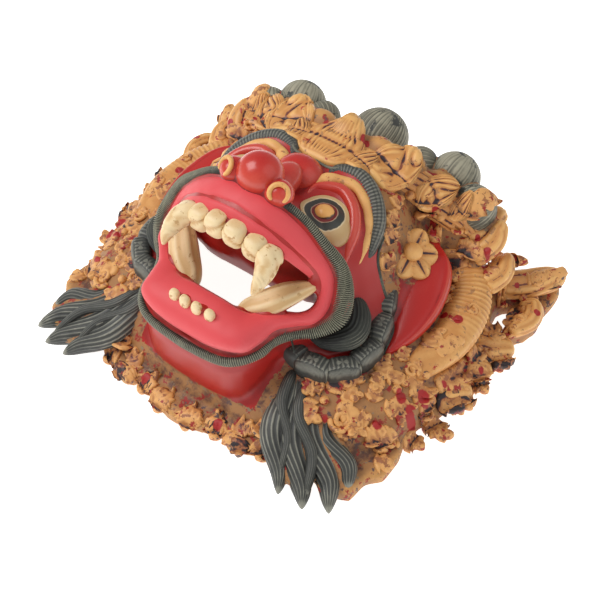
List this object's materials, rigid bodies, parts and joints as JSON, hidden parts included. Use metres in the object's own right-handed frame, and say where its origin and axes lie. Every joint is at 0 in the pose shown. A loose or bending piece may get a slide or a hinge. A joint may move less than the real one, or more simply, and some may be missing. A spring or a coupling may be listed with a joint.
{
  "type": "barong mask",
  "caption": "Carved and painted wooden barong mask, lying face up: open tusked mouth seen right through, bulging eyes, gilded leaf ornament, hair buns and beard tufts.",
  "frame": {"origin": "on the ground under the middle of the mask's outline, as it lies on its back", "axes": "+X to the side of the mask's left ear, +Y from the chin to the crown, +Z out of the face"},
  "size_m": [0.4008, 0.3352, 0.206],
  "materials": {
    "painted_wood": "matte painted and gilded wood, with worn edges"
  },
  "bodies": {
    "root": {"mask": "painted_wood"}
  },
  "joints": []
}
